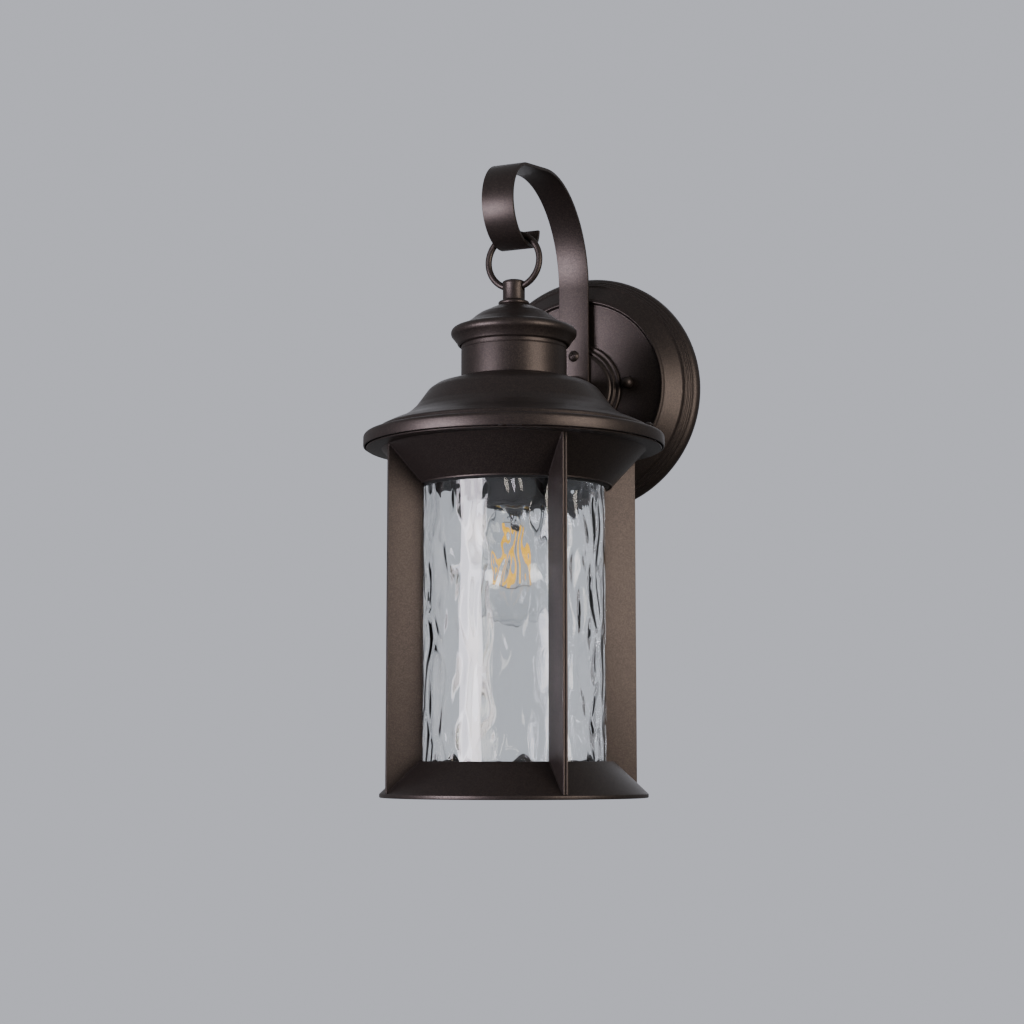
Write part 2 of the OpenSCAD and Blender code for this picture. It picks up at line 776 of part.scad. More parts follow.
bulb_wall = 0.8;
bulb_foot = lamp_z - bulb_h;
belly_z = bulb_foot + bulb_r * 1.06;
neck_in = lamp_shell_r - 0.6;
// height of the bulb's shoulder as a share of the way from belly to neck
function bulb_at(t) =
  [neck_in + (bulb_r - neck_in) * (1 - cos(180 * t)) / 2,
   lamp_z - 1 + (belly_z - lamp_z + 1) * t];
function bulb_line(k) = concat(
  [[neck_in - k, lamp_z + 12], [neck_in - k, lamp_z - 1]],
  [for (t = [0.12:0.11:0.99]) bulb_at(t) - [k, 0]],
  [for (a = [0:-9:-81]) [(bulb_r - k) * cos(a),
                         belly_z + (bulb_r * 1.06 - k) * sin(a)]],
  [[0, bulb_foot + k]]);

module bulb_envelope() {
  color("#eef2f4", 0.3) on_axis()
    spun(concat(bulb_line(0), backwards(bulb_line(bulb_wall))));
}

stem_foot = lamp_z - 16;
wire_r = 0.35;                   // wires of the filaments, sealed into the stem
module bulb_stem() {
  color("#dfe7ea", 0.4) on_axis() difference() {
    spun([[0, lamp_z + 2], [neck_in - bulb_wall - 0.02, lamp_z + 2],
          [neck_in - bulb_wall - 0.02, lamp_z + 1], [6, lamp_z - 3],
          [3.6, lamp_z - 8], [3, stem_foot + 1], [2, stem_foot], [0, stem_foot]]);
    stem_wires(wire_r + 0.02);
  }
}

// ends of filament i: near the stem above, wider apart below
filament_z = lamp_z - 14;
function filament_end(i, low) = let (a = 45 + 90 * i, r = low ? 10 : 6)
  [r * cos(a), r * sin(a), low ? filament_z - filament_h : filament_z];
module bulb_filaments() {
  color("#e6b93c") on_axis() for (i = [0:3])
    rod(filament_end(i, false), filament_end(i, true), 0.9);
}

// wires from inside the stem to the upper ends of the filaments
module stem_wires(r) {
  for (i = [0:3]) {
    top = filament_end(i, false);
    rod([top[0] / 3, top[1] / 3, stem_foot + 4], top + [0, 0, wire_r], r);
  }
}
module bulb_wires() {
  color(steel) on_axis() {
    stem_wires(wire_r);
    hub = [0, 0, filament_z - filament_h - 2];
    for (i = [0:3]) rod(hub, filament_end(i, true) - [0, 0, wire_r], wire_r);
    rod([0, 0, stem_foot], hub, wire_r);
    translate(hub) sphere(r = 0.8, $fn = fine);
  }
}

wall_gasket();
box_bar();
stud_bar();
ground_screw();
mounting_studs();
stud_nuts();
backplate();
ball_nuts();
stiffener();
boss();
hook_strap();
strap_screws();
arm_tube();
arm_saddles();
arm_nuts();
neck();
cap();
finial();
ring();
centre_pipe();
clamp_bar();
pipe_nuts();
roof();
roof_screws();
hopper();
fin_front_left();
fin_front_right();
fin_back_left();
fin_back_right();
bottom_ring();
glass_seat();
glass();
top_gasket();
bottom_gasket();
socket_body();
socket_shell();
socket_contact();
lead_hot();
lead_neutral();
ground_lead();
wire_connectors();
bulb_base();
bulb_insulator();
bulb_contact();
bulb_envelope();
bulb_stem();
bulb_filaments();
bulb_wires();
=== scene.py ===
import math

import bmesh
import bpy
from mathutils import Matrix, Vector, noise


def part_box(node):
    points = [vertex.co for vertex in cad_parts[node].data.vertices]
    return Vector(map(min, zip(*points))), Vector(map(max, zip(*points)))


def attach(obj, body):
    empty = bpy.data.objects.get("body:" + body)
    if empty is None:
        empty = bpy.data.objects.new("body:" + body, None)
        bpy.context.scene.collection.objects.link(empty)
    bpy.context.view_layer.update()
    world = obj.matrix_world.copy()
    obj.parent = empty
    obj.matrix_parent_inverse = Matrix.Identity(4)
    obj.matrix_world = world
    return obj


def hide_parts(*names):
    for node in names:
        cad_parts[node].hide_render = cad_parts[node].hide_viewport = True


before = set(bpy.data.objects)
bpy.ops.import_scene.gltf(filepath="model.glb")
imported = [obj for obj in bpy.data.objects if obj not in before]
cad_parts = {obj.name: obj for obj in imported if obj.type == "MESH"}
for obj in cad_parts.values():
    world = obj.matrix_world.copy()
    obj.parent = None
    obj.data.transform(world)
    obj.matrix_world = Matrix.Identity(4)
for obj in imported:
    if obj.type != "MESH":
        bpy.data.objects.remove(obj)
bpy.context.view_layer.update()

# ---------- sizes, in metres unless a name says mm ----------

MM = 0.001
TURN_STEPS = 144                 # facets round a large spun piece
SHEET_MM = 1.2                   # spun and pressed sheet
CREASE = math.radians(38)        # sharper corners stay crisp

STRAP_T_MM = 2.2
ARCH_R_MM, ARCH_Z_MM = 65.5, 69.6
CURL_R_MM, TIP_R_MM, CURL_PAST = 27.5, 14.5, 10.0
HOOK_GAP_MM = 0.8                # daylight between the ring and the curl
FIN_T_MM = 3.1
THREAD_PITCH_MM, THREAD_DEPTH_MM = 3.63, 0.75


def low(node, axis="z"):
    """Lowest place of a CAD node along an axis, in millimetres."""
    return getattr(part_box(node)[0], axis) / MM


def high(node, axis="z"):
    return getattr(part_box(node)[1], axis) / MM


def radius(node):
    return (high(node, "x") - low(node, "x")) / 2


REACH_MM = -(low("glass", "y") + high("glass", "y")) / 2
LANTERN_AXIS = Matrix.Translation((0, -REACH_MM * MM, 0))
OUT_OF_WALL = Matrix.Rotation(math.radians(90), 4, "X")


# ---------- outlines, in millimetres ----------

def rounded(points, steps=5):
    """The line through points (across, along, fillet), its corners rounded off."""
    line = []
    for i, point in enumerate(points):
        here = Vector(point[:2])
        fillet = point[2] if len(point) > 2 else 0
        if not fillet or i in (0, len(points) - 1):
            line.append(here)
            continue
        before = Vector(points[i - 1][:2]) - here
        after = Vector(points[i + 1][:2]) - here
        run = fillet / math.tan(before.angle(after) / 2)
        start = here + before.normalized() * min(run, 0.49 * before.length)
        end = here + after.normalized() * min(run, 0.49 * after.length)
        for k in range(steps + 1):
            t = k / steps
            line.append((1 - t) ** 2 * start + 2 * t * (1 - t) * here + t * t * end)
    return line


def arc(across, along, r, start, end, steps=6):
    """Points of an arc, with angles in degrees."""
    turns = [math.radians(start + (end - start) * k / steps) for k in range(steps + 1)]
    return [(across + r * math.cos(a), along + r * math.sin(a)) for a in turns]


def sheet(line, thickness=SHEET_MM):
    """Closed outline of a sheet on the left of the line, with round hems."""
    line = [Vector(p) for p in line]
    first = (line[0] - line[1]).normalized()
    last = (line[-1] - line[-2]).normalized()
    line[0] = line[0] - first * thickness / 2
    line[-1] = line[-1] - last * thickness / 2
    inner = []
    for i, point in enumerate(line):
        ahead = line[min(i + 1, len(line) - 1)] - line[max(i - 1, 0)]
        side = Vector((-ahead.y, ahead.x)).normalized()
        inner.append(point + side * thickness)

    def hem(a, b, out):
        middle = (a + b) / 2
        turns = [math.radians(a) for a in (45, 90, 135)]
        return [middle + (a - middle) * math.cos(t) + out * thickness / 2 * math.sin(t)
                for t in turns]

    return line + hem(line[-1], inner[-1], last) + inner[::-1] + hem(inner[0], line[0], first)


# ---------- making pieces ----------

def piece(name, shape, place=Matrix()):
    """Turns a finished bmesh into an object, with its place in its mesh."""
    bmesh.ops.transform(shape, matrix=place, verts=shape.verts)
    mesh = bpy.data.meshes.new(name)
    shape.to_mesh(mesh)
    shape.free()
    mesh.shade_smooth()
    mesh.set_sharp_from_angle(angle=CREASE)
    made = bpy.data.objects.new(name, mesh)
    bpy.context.scene.collection.objects.link(made)
    return made


def spin_line(shape, line, steps, closed=True):
    """Spins a line about Z. An open line starts and ends on the axis."""
    verts = [shape.verts.new((p[0] * MM, 0, p[1] * MM)) for p in line]
    edges = [shape.edges.new(pair) for pair in zip(verts, verts[1:])]
    if closed:
        edges.append(shape.edges.new((verts[-1], verts[0])))
    bmesh.ops.spin(shape, geom=verts + edges, cent=(0, 0, 0), axis=(0, 0, 1),
                   angle=math.tau, steps=steps, use_merge=True)
    bmesh.ops.remove_doubles(shape, verts=shape.verts, dist=1e-6)
    bmesh.ops.recalc_face_normals(shape, faces=shape.faces)


def spun(name, line, place=LANTERN_AXIS, steps=TURN_STEPS, closed=True):
    shape = bmesh.new()
    spin_line(shape, line, steps, closed)
    return piece(name, shape, place)


def slab(shape, outline, thickness, bevel_mm):
    """Adds a flat plate in the XZ plane, thickness deep along Y, its edges rounded."""
    verts = [shape.verts.new((p[0] * MM, -thickness * MM / 2, p[1] * MM)) for p in outline]
    face = shape.faces.new(verts)
    grown = bmesh.ops.extrude_face_region(shape, geom=[face])["geom"]
    moved = [g for g in grown if isinstance(g, bmesh.types.BMVert)]
    bmesh.ops.translate(shape, vec=(0, thickness * MM, 0), verts=moved)
    fresh = set(verts) | set(moved)
    edges = [e for e in shape.edges if set(e.verts) <= fresh
             and len(e.link_faces) == 2 and e.calc_face_angle(0) > CREASE]
    bmesh.ops.bevel(shape, geom=edges, offset=bevel_mm * MM, offset_type="OFFSET",
                    affect="EDGES", segments=3, profile=0.5, material=-1)
    bmesh.ops.recalc_face_normals(shape, faces=shape.faces)


def rod(shape, start, end, r, steps=12):
    """Adds a round rod with closed ends between two points, in millimetres."""
    start, end = Vector(start), Vector(end)
    run = end - start
    turn = run.to_track_quat("Z", "Y").to_matrix().to_4x4()
    place = Matrix.Translation((start + end) / 2 * MM) @ turn
    bmesh.ops.create_cone(shape, cap_ends=True, segments=steps, radius1=r * MM,
                          radius2=r * MM, depth=run.length * MM, matrix=place)


def refined(node, bevel_mm=0.2):
    """A copy of a CAD node with merged faces, rounded edges and smooth shading."""
    shape = bmesh.new()
    shape.from_mesh(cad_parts[node].data)
    bmesh.ops.remove_doubles(shape, verts=shape.verts, dist=1e-6)
    bmesh.ops.dissolve_limit(shape, angle_limit=math.radians(0.5), verts=shape.verts,
                             edges=shape.edges, use_dissolve_boundaries=False)
    if bevel_mm:
        edges = [e for e in shape.edges if len(e.link_faces) == 2
                 and e.calc_face_angle(0) > CREASE]
        bmesh.ops.bevel(shape, geom=edges, offset=bevel_mm * MM, offset_type="OFFSET",
                        affect="EDGES", segments=2, profile=0.5, material=-1,
                        clamp_overlap=True)
    return piece(node + "_finished", shape)


def fitted(made, material, slot, *nodes, body="lantern"):
    """Gives a piece its finish, its body and the CAD nodes it stands for."""
    made.data.materials.clear()
    made.data.materials.append(material)
    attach(made, body)
    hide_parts(*nodes)
    return made


# ---------- materials ----------

def linear(code):
    """An sRGB hex colour as linear red, green, blue and alpha."""
    parts = [int(code[i:i + 2], 16) / 255 for i in (1, 3, 5)]
    return [c / 12.92 if c <= 0.04045 else ((c + 0.055) / 1.055) ** 2.4
            for c in parts] + [1.0]


def add(tree, kind, sockets, **settings):
    """Adds a node, with its settings and the values or links of its sockets."""
    made = tree.nodes.new(kind)
    for key, value in settings.items():
        setattr(made, key, value)
    for key, value in sockets.items():
        if isinstance(value, bpy.types.NodeSocket):
            tree.links.new(value, made.inputs[key])
        else:
            made.inputs[key].default_value = value
    return made


def blank(name):
    material = bpy.data.materials.new(name)
    material.use_nodes = True
    material.node_tree.nodes.clear()
    return material, material.node_tree


def per_metre(size_mm):
    """Pattern scale that repeats once in size_mm on Object coordinates."""
    return 1 / (size_mm * MM)


def powder_coat_bronze():
    """Oil rubbed bronze powder coat on steel: dark brown, satin, with fine lighter
    metal fleck that makes lit faces look grainy, and a faint orange peel."""
    material, tree = blank("powder_coat_bronze")
    place = add(tree, "ShaderNodeTexCoord", {}).outputs["Object"]
    # real fleck is 0.1 mm: drawn at 0.45 mm so that it shows
    fleck = add(tree, "ShaderNodeTexVoronoi", {"Vector": place, "Scale": per_metre(0.45)})
    spark = add(tree, "ShaderNodeSeparateColor", {"Color": fleck.outputs["Color"]})
    glint = add(tree, "ShaderNodeMapRange", {"Value": spark.outputs["Red"],
                "From Min": 0.3, "From Max": 1.0, "To Min": 0.0, "To Max": 0.22})
    cloud = add(tree, "ShaderNodeTexNoise", {"Vector": place, "Scale": per_metre(45),
                "Detail": 3.0, "Roughness": 0.55})
    shade = add(tree, "ShaderNodeMix", {0: cloud.outputs["Fac"],
                6: linear("#2e2827"), 7: linear("#332d2b")}, data_type="RGBA")
    coat = add(tree, "ShaderNodeMix", {0: glint.outputs["Result"],
               6: shade.outputs[2], 7: linear("#665b52")}, data_type="RGBA")
    gloss = add(tree, "ShaderNodeMapRange", {"Value": spark.outputs["Green"],
                "To Min": 0.38, "To Max": 0.46})
    peel = add(tree, "ShaderNodeTexNoise", {"Vector": place, "Scale": per_metre(1.6),
               "Detail": 2.0})
    bump = add(tree, "ShaderNodeBump", {"Height": peel.outputs["Fac"],
               "Strength": 0.25, "Distance": 0.05 * MM})
    shader = add(tree, "ShaderNodeBsdfPrincipled", {"Base Color": coat.outputs[2],
                 "Metallic": 0.75, "Roughness": gloss.outputs["Result"],
                 "Normal": bump.outputs["Normal"]})
    add(tree, "ShaderNodeOutputMaterial", {"Surface": shader.outputs["BSDF"]})
    return material


def surface(name, dark, light, grain_mm, metallic, roughness, bump_mm, stretch=(1, 1, 1),
            glow=0.0):
    """A plain finish whose colour drifts between two tones in grains of a real size,
    with the same grain in its roughness and its relief. Glow is its own light."""
    material, tree = blank(name)
    place = add(tree, "ShaderNodeTexCoord", {}).outputs["Object"]
    scaled = add(tree, "ShaderNodeMapping", {"Vector": place, "Scale": stretch})
    grain = add(tree, "ShaderNodeTexNoise", {"Vector": scaled.outputs["Vector"],
                "Scale": per_metre(grain_mm), "Detail": 4.0, "Roughness": 0.6})
    tone = add(tree, "ShaderNodeMix", {0: grain.outputs["Fac"],
               6: linear(dark), 7: linear(light)}, data_type="RGBA")
    matt = add(tree, "ShaderNodeMapRange", {"Value": grain.outputs["Fac"],
               "To Min": roughness * 0.8, "To Max": min(1.0, roughness * 1.2)})
    bump = add(tree, "ShaderNodeBump", {"Height": grain.outputs["Fac"],
               "Strength": 0.4, "Distance": bump_mm * MM})
    shader = add(tree, "ShaderNodeBsdfPrincipled", {"Base Color": tone.outputs[2],
                 "Metallic": metallic, "Roughness": matt.outputs["Result"],
                 "Emission Color": linear(light), "Emission Strength": glow,
                 "Normal": bump.outputs["Normal"]})
    add(tree, "ShaderNodeOutputMaterial", {"Surface": shader.outputs["BSDF"]})
    return material


def clear_glass(name, tint, ior, roughness, seed_mm):
    """Soda glass: clear and colourless, its waves are in the mesh, with only a very
    faint drawn unevenness left in the surface."""
    material, tree = blank(name)
    place = add(tree, "ShaderNodeTexCoord", {}).outputs["Object"]
    seed = add(tree, "ShaderNodeTexNoise", {"Vector": place, "Scale": per_metre(seed_mm)})
    bump = add(tree, "ShaderNodeBump", {"Height": seed.outputs["Fac"],
               "Strength": 0.15, "Distance": 0.2 * MM})
    shader = add(tree, "ShaderNodeBsdfPrincipled", {"Base Color": linear(tint),
                 "Roughness": roughness, "IOR": ior, "Transmission Weight": 1.0,
                 "Normal": bump.outputs["Normal"]})
    add(tree, "ShaderNodeOutputMaterial", {"Surface": shader.outputs["BSDF"]})
    return material


bronze = powder_coat_bronze()
zinc = surface("zinc_plated_steel", "#9a9ca0", "#b9bbbd", 3, 1.0, 0.38, 0.02)
foam = surface("closed_cell_foam", "#161616", "#262626", 0.9, 0.0, 0.95, 0.15)
silicone = surface("black_silicone", "#0e0e0e", "#181818", 4, 0.0, 0.6, 0.02)
ground_green = surface("green_dyed_screw", "#2e7a3f", "#459a55", 2, 0.6, 0.35, 0.01)
phenolic = surface("moulded_phenolic", "#0c0b0b", "#141211", 5, 0.0, 0.7, 0.03)
rolled_brass = surface("rolled_brass", "#b8963f", "#d6b665", 6, 1.0, 0.3, 0.01, (1, 1, 0.2))
black_wire = surface("black_insulation", "#131313", "#242424", 3, 0.0, 0.45, 0.02)
white_wire = surface("white_insulation", "#d5d3cc", "#eceae4", 3, 0.0, 0.45, 0.02)
green_wire = surface("green_insulation", "#2c7d3d", "#3f9a50", 3, 0.0, 0.45, 0.02)
connector = surface("orange_connector", "#c4611f", "#dd7d38", 4, 0.0, 0.4, 0.03)
lamp_cap = surface("nickel_plated_cap", "#b3aa98", "#d3cab6", 4, 1.0, 0.28, 0.01)
vitrite = surface("black_vitrite", "#0c0c12", "#1a1a22", 3, 0.0, 0.15, 0.02)
solder = surface("soft_solder", "#9c9c9a", "#c2c2bf", 1.5, 1.0, 0.4, 0.05)
nickel_wire = surface("nickel_wire", "#8c8c88", "#a8a8a4", 1, 1.0, 0.35, 0.01)
# painted glow: the filaments shine faintly yellow with light of their own, though the lamp is
# off
phosphor = surface("filament_phosphor", "#eea40e", "#fbc02a", 0.6, 0.0, 0.6, 0.05, glow=0.8)
water_glass = clear_glass("water_glass", "#fbfdfd", 1.5, 0.0, 12)
bulb_glass = clear_glass("blown_bulb_glass", "#fdfefe", 1.47, 0.0, 25)


# ---------- backplate and boss ----------

def make_backplate():
    r = radius("backplate")
    ridge = -low("backplate", "y")
    face = ridge - 2
    line = [(r, 0.5)] + arc(r - 6.5, 2.2, 6.5, 0, 50, 8)
    line += [(r - 3.1, 7.6)] + arc(r - 4.0, 8.7, 1.15, -30, 80)
    line += [(r - 4.5, 10.2)] + arc(r - 5.6, 11.2, 1.0, -30, 80)
    line += [(r - 6.0, 12.5)] + arc(r - 6.9, 13.3, 0.85, -30, 85)
    line += rounded([(r - 7.4, 14.3), (r - 8.3, 14.8, 1), (r - 17.6, ridge - 1.2, 3),
                     (r - 18.8, ridge - 0.6)])
    line += arc(r - 19.7, ridge - 0.9, 0.9, 60, 150)
    line += rounded([(r - 20.9, face + 0.5), (r - 21.4, face, 0.8),
                     (radius("boss") / 3, face)])
    plate = spun("backplate_spun", sheet(line), OUT_OF_WALL)
    fitted(plate, bronze, "bronze", "backplate")


def make_boss():
    r = radius("boss")
    foot = -high("boss", "y")
    face = -low("boss", "y")
    bore = 4.9
    line = [(bore, foot), (r, foot)] + arc(r - 1.2, foot + 0.7, 1.2, 0, 100)
    line += rounded([(r - 2.4, foot + 1.5), (r - 3.2, foot + 1.7, 0.5), (r - 3.4, foot + 2)])
    line += arc(r - 4.6, foot + 2.3, 1.1, 30, 120)
    line += rounded([(r - 6, foot + 2.7), (r - 7, face - 0.4, 0.6), (r - 8.4, face, 0.8),
                     (bore, face)])
    fitted(spun("boss_spun", line, OUT_OF_WALL), bronze, "bronze", "boss")


# ---------- strap and ring ----------

def strap_line(inset):
    """One face of the strap as (depth, height), inset from its outer face."""
    foot = -high("hook_strap", "y")
    curl_depth = -low("hook_strap", "y") - CURL_R_MM
    wire = high("ring", "y") - low("ring", "y")
    half_width = high("hook_strap", "x")
    ring_middle = (low("ring") + high("ring")) / 2
    cradle = ring_middle + math.sqrt((radius("ring") - wire) ** 2 - half_width ** 2)
    curl_z = cradle - HOOK_GAP_MM - STRAP_T_MM + CURL_R_MM
    arch_depth = foot + ARCH_R_MM
    across, up = curl_depth - arch_depth, curl_z - ARCH_Z_MM
    lean = math.degrees(math.atan2(across, up)
                        - math.acos((ARCH_R_MM - CURL_R_MM) / math.hypot(across, up)))
    past = math.radians(CURL_PAST)
    tip = (curl_depth - (CURL_R_MM - TIP_R_MM) * math.sin(past),
           curl_z - (CURL_R_MM - TIP_R_MM) * math.cos(past))
    return ([(foot + inset, low("hook_strap"))]
            + arc(arch_depth, ARCH_Z_MM, ARCH_R_MM - inset, 180, 90 - lean, 40)
            + arc(curl_depth, curl_z, CURL_R_MM - inset, 90 - lean, -90 - CURL_PAST, 48)
            + arc(*tip, TIP_R_MM - inset, -90 - CURL_PAST, -180, 16))


def make_strap():
    shape = bmesh.new()
    outline = strap_line(0) + strap_line(STRAP_T_MM)[::-1]
    slab(shape, outline, high("hook_strap", "x") - low("hook_strap", "x"), 0.35)
    across_wall = Matrix.Rotation(math.radians(-90), 4, "Z")
    strap = piece("hook_strap_bent", shape, across_wall)
    fitted(strap, bronze, "bronze", "hook_strap")


def make_ring():
    wire = (high("ring", "y") - low("ring", "y")) / 2
    middle = (low("ring") + high("ring")) / 2
    line = arc(radius("ring") - wire, 0, wire, 0, 345, 23)
    upright = LANTERN_AXIS @ Matrix.Translation((0, 0, middle * MM)) @ OUT_OF_WALL
    fitted(spun("hanging_ring", line, upright), bronze, "bronze", "ring", body="ring")


# ---------- finial, cap, neck and roof ----------

def make_finial():
    foot, top = low("finial"), high("finial")
    r = radius("finial")
    post = r - 2.9
    line = ([(0, foot), (r - 0.5, foot)] + arc(r - 1.4, foot + 1.5, 1.4, -60, 70, 8)
            + arc(post + 1.1, foot + 4.1, 1.1, 250, 180, 6)
            + rounded([(post, foot + 5), (post, top - 3), (post + 0.25, top - 2.2, 0.6),
                       (post + 0.1, top - 0.8, 0.8), (post - 1.4, top, 0.8), (0, top)]))
    finial = spun("finial_turned", line, steps=96, closed=False)
    hole = bmesh.new()
    hole_z = low("ring") + (high("ring", "y") - low("ring", "y")) / 2 + 0.743
    rod(hole, (-2 * r, 0, hole_z), (2 * r, 0, hole_z), 3.04, 48)
    cutter = piece("cross_hole", hole, LANTERN_AXIS)
    cut = finial.modifiers.new("cross_hole", "BOOLEAN")
    cut.object = cutter
    cut.solver = "EXACT"
    bpy.context.view_layer.update()
    seen = finial.evaluated_get(bpy.context.evaluated_depsgraph_get())
    drilled = bpy.data.meshes.new_from_object(seen)
    finial.modifiers.clear()
    finial.data = drilled
    finial.data.set_sharp_from_angle(angle=CREASE)
    bpy.data.objects.remove(cutter)
    fitted(finial, bronze, "bronze", "finial")


def make_cap():
    r, top, edge = radius("cap"), high("cap"), low("cap")
    neck = radius("neck")
    line = rounded([
        (5.2, top), (10, top, 1), (14, top - 1.7, 6), (19, top - 4.1, 6),
        (21.8, top - 5.4, 5), (25, top - 7.7, 6), (28, top - 10.3, 6),
        (neck - 0.6, edge + 13.3, 4), (neck + 2.6, edge + 12.3, 2)], 6)
    line += arc(r - 3.6, edge + 8.4, 3.6, 66, -50, 14)
    line += rounded([(neck + 2.9, edge + 2.6), (neck + 2.2, edge + 1, 1),
                     (neck + 0.9, edge)])
    line = [(across, along) for across, along in line][::-1]
    fitted(spun("cap_spun", sheet(line)), bronze, "bronze", "cap")


def make_neck():
    r, foot, top = radius("neck"), low("neck"), high("neck")
    wall = SHEET_MM
    groove = low("cap") - 2.2
    line = rounded([(r - wall, foot), (r, foot), (r, groove - 0.5, 0.2),
                    (r - 0.3, groove, 0.2), (r, groove + 0.5, 0.2), (r, top),
                    (r - wall, top)])
    fitted(spun("neck_tube", line), bronze, "bronze", "neck")


def make_roof():
    r, top, brim = radius("roof"), high("roof"), low("roof")
    neck = radius("neck")
    step_r = r - 9
    bell = top - brim - 12
    line = rounded([
        (neck - 9, top), (neck + 0.2, top), (neck + 4, top - 0.9, 6),
        (neck + 10, top - bell * 0.085, 14),
        (neck + 16, top - bell * 0.14, 8), (neck + 20.6, top - bell * 0.24, 9),
        (neck + 24.4, top - bell * 0.4, 12), (neck + 28.6, top - bell * 0.58, 12),
        (neck + 33, top - bell * 0.71, 14), (neck + 38.6, top - bell * 0.82, 20),
        (neck + 46, top - bell * 0.91, 20), (step_r - 0.8, top - bell, 1.2),
        (step_r - 0.1, top - bell - 0.8, 0.8), (step_r + 0.3, top - bell - 3, 0.5),
        (r - 2.6, brim + 8.3, 0.5)], 6)
    line += arc(r - 2.6, brim + 5.7, 2.6, 82, 0, 8)
    line += [(r, brim)]
    fitted(spun("roof_spun", sheet(line[::-1])), bronze, "bronze", "roof")


# ---------- cage ----------

CAGE_MOUTH_MM = 62.4             # radius of the hopper's mouth and the skirt's top
CAGE_R_MM = 83.6
FIN_GAP_MM = 0.5
FIN_IN_MM = 60.5
SKIRT_H_MM, FOOT_BAND_MM = 20.0, 2.4


def make_hopper():
    flange, mouth = high("hopper"), low("hopper")
    lower = flange - SHEET_MM
    line = rounded([
        (CAGE_MOUTH_MM, mouth), (CAGE_MOUTH_MM, mouth + 0.9, 0.5),
        (CAGE_R_MM + 0.1, lower, 0.8), (radius("hopper"), lower)])
    fitted(spun("hopper_spun", sheet(line)), bronze, "bronze", "hopper")


def make_bottom_ring():
    foot, top = low("bottom_ring"), high("bottom_ring")
    r = radius("bottom_ring")
    band = foot + FOOT_BAND_MM
    line = rounded([
        (r, foot), (r, band - 0.1, 0.4), (r - 0.7, band + 0.6, 0.4),
        (CAGE_MOUTH_MM, top, 0.8), (CAGE_MOUTH_MM - SHEET_MM, top)])
    fitted(spun("bottom_ring_spun", sheet(line)), bronze, "bronze", "bottom_ring")


def make_glass_seat():
    foot, top = low("glass_seat"), high("glass_seat")
    outer = radius("glass_seat")
    line = rounded([(outer, top), (outer, foot, 1.3), (outer - 7.5, foot)])
    fitted(spun("glass_seat_pressed", sheet(line[::-1])), bronze, "bronze", "glass_seat")


def make_fin(node, turn):
    """A fin folded from sheet: two leaves with a dark slot between them, thin beads
    of weld along both slopes."""
    mouth = low("hopper")
    flange = high("hopper") - SHEET_MM
    skirt, foot = high("bottom_ring"), low("bottom_ring") + FOOT_BAND_MM + 0.3
    outline = [(FIN_IN_MM, mouth), (CAGE_MOUTH_MM, mouth), (CAGE_MOUTH_MM, mouth + 0.9),
               (CAGE_R_MM, flange - 0.1), (CAGE_R_MM, foot), (CAGE_MOUTH_MM, skirt),
               (FIN_IN_MM, skirt)]
    shape = bmesh.new()
    leaf = (FIN_T_MM - FIN_GAP_MM) / 2
    for side in (-1, 1):
        half = bmesh.new()
        slab(half, outline, leaf, 0.25)
        shift = side * (leaf + FIN_GAP_MM) / 2 * MM
        bmesh.ops.translate(half, vec=(0, shift, 0), verts=half.verts)
        kept = bpy.data.meshes.new("leaf")
        half.to_mesh(kept)
        half.free()
        shape.from_mesh(kept)
        bpy.data.meshes.remove(kept)
        for start, end in (((CAGE_MOUTH_MM + 0.4, mouth + 1.4), (CAGE_R_MM - 0.6, flange - 0.6)),
                           ((CAGE_MOUTH_MM + 0.4, skirt - 0.3), (CAGE_R_MM - 0.8, foot + 0.7))):
            y = side * FIN_T_MM / 2
            rod(shape, (start[0], y, start[1]), (end[0], y, end[1]), 0.4)
    spine = [(FIN_IN_MM + 0.2, mouth + 0.3), (CAGE_R_MM - 6, mouth + 14),
             (CAGE_R_MM - 6, skirt - 14), (FIN_IN_MM + 0.2, skirt - 0.3)]
    slab(shape, spine, FIN_GAP_MM + 0.2, 0.05)
    place = LANTERN_AXIS @ Matrix.Rotation(math.radians(turn), 4, "Z")
    fitted(piece(node + "_folded", shape, place), bronze, "bronze", node)


# ---------- glass and gaskets ----------

DROP_WIDE_MM, DROP_TALL_MM = 11.5, 38.0    # size of one drop of the water glass
DROP_DEEP_MM, DRAWN_MM = 2.2, 0.4          # relief inside and outside
CREASE_PART = 0.5                          # how much of the relief is crease


def drops(point):
    """Relief of the water glass at a point, from 0 in a crease to 1 on a drop."""
    wander = noise.noise_vector(point / (30 * MM)) * 0.5
    cell = Vector((point.x / DROP_WIDE_MM, point.y / DROP_WIDE_MM,
                   point.z / DROP_TALL_MM)) / MM + wander
    near = noise.voronoi(cell)[0]
    t = min(1.0, (near[1] - near[0]) / 0.8)
    crease = t * t * (3 - 2 * t)
    swell = 0.5 + 0.5 * noise.noise(cell * 1.5)
    return CREASE_PART * crease + (1 - CREASE_PART) * swell


